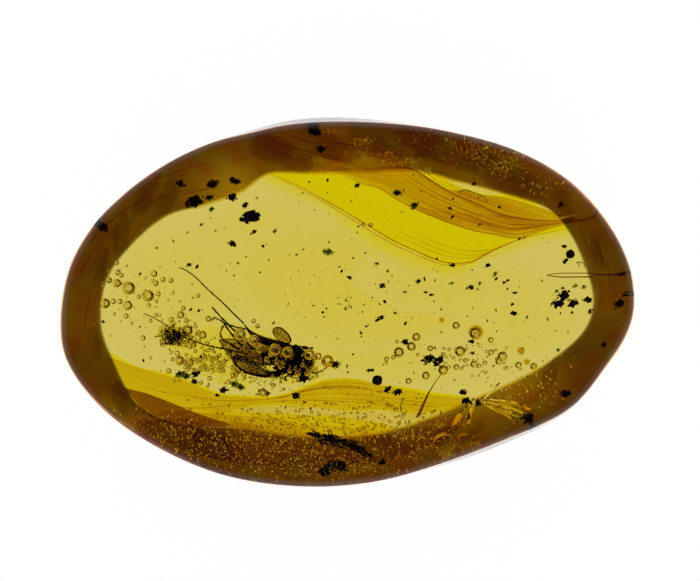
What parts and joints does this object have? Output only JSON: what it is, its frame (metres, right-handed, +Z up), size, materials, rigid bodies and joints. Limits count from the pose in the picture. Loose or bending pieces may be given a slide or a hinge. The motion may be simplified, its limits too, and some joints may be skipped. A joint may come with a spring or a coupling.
{
  "type": "insect in amber",
  "caption": "Polished see-through amber pebble with a flat window ground into its base and a low dome, holding a small insect, bubbles, flow bands and dark specks.",
  "frame": {"origin": "middle of the bounding box's lowest face, on the flat base", "axes": "+X along the pebble's length, +Z up out of the dome, +Y across the pebble"},
  "size_m": [0.03, 0.0194, 0.007],
  "materials": {
    "amber": "clear honey-yellow resin with a polished surface, browner in its rounded rim",
    "chitin": "dark brown to black insect skin, slightly glossy",
    "wing": "thin see-through brown wing skin with darker veins",
    "debris": "matt dark crumbs of bark and plant dust",
    "bubble": "air bubbles and thin cracks, clear with dark outlines"
  },
  "bodies": {
    "root": {"amber": "amber"}
  },
  "joints": []
}
